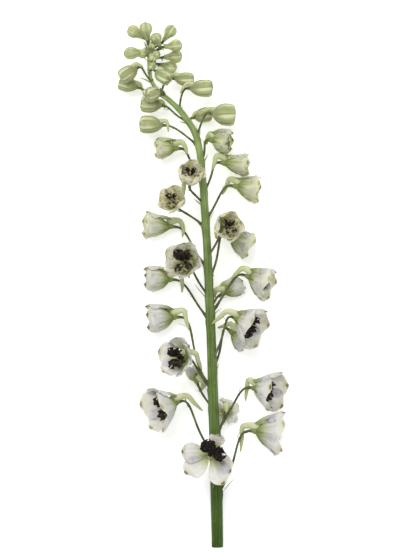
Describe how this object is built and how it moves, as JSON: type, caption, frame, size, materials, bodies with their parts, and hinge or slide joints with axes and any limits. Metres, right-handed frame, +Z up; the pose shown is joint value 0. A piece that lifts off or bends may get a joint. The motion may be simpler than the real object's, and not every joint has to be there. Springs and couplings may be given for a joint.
{
  "type": "delphinium flower spike",
  "caption": "Cut delphinium flower spike lying down: spurred white blooms with dark eyes on thin stalks along a green stem, and closed buds at its curved tip.",
  "frame": {"origin": "middle of the spike's footprint, on the surface that it lies on", "axes": "+Y along the spike from the cut end of the stem to the bud cluster, +Z up from the surface, +X to the right of the spike seen from above"},
  "size_m": [0.1184, 0.3611, 0.0467],
  "materials": {
    "stem": "smooth green stem, satin",
    "sepals": "soft white petal, green towards its base and spur",
    "eye": "near black, hairy",
    "bud": "pale green bud, satin"
  },
  "bodies": {
    "root": {"stem": "stem", "bloom_01_sepals": "sepals", "bloom_01_eye": "eye", "bloom_02_sepals": "sepals", "bloom_02_eye": "eye", "bloom_03_sepals": "sepals", "bloom_03_eye": "eye", "bloom_04_sepals": "sepals", "bloom_04_eye": "eye", "bloom_05_sepals": "sepals", "bloom_05_eye": "eye", "bloom_06_sepals": "sepals", "bloom_06_eye": "eye", "bloom_07_sepals": "sepals", "bloom_08_sepals": "sepals", "bloom_08_eye": "eye", "bloom_09_sepals": "sepals", "bloom_09_eye": "eye", "bloom_10_sepals": "sepals", "bloom_10_eye": "eye", "bloom_11_sepals": "sepals", "bloom_11_eye": "eye", "bloom_12_sepals": "sepals", "bloom_13_sepals": "sepals", "bloom_13_eye": "eye", "bloom_14_sepals": "sepals", "bloom_14_eye": "eye", "bloom_15_sepals": "sepals", "bloom_15_eye": "eye", "bloom_16_sepals": "sepals", "bloom_16_eye": "eye", "bloom_17_sepals": "sepals", "bloom_17_eye": "eye", "bloom_18_sepals": "sepals", "bloom_18_eye": "eye", "bloom_19_sepals": "sepals", "bloom_19_eye": "eye", "bloom_20_sepals": "sepals", "bloom_20_eye": "eye", "bloom_21_sepals": "sepals", "bloom_22_sepals": "sepals", "bloom_23_sepals": "sepals", "bud_01": "bud", "bud_02": "bud", "bud_03": "bud", "bud_04": "bud", "bud_05": "bud", "bud_06": "bud", "bud_07": "bud", "bud_08": "bud", "bud_09": "bud", "bud_10": "bud", "tip_bud_1": "bud", "tip_bud_2": "bud", "tip_bud_3": "bud", "tip_bud_4": "bud", "tip_bud_5": "bud", "tip_bud_6": "bud", "tip_bud_7": "bud", "tip_bud_8": "bud"}
  },
  "joints": []
}
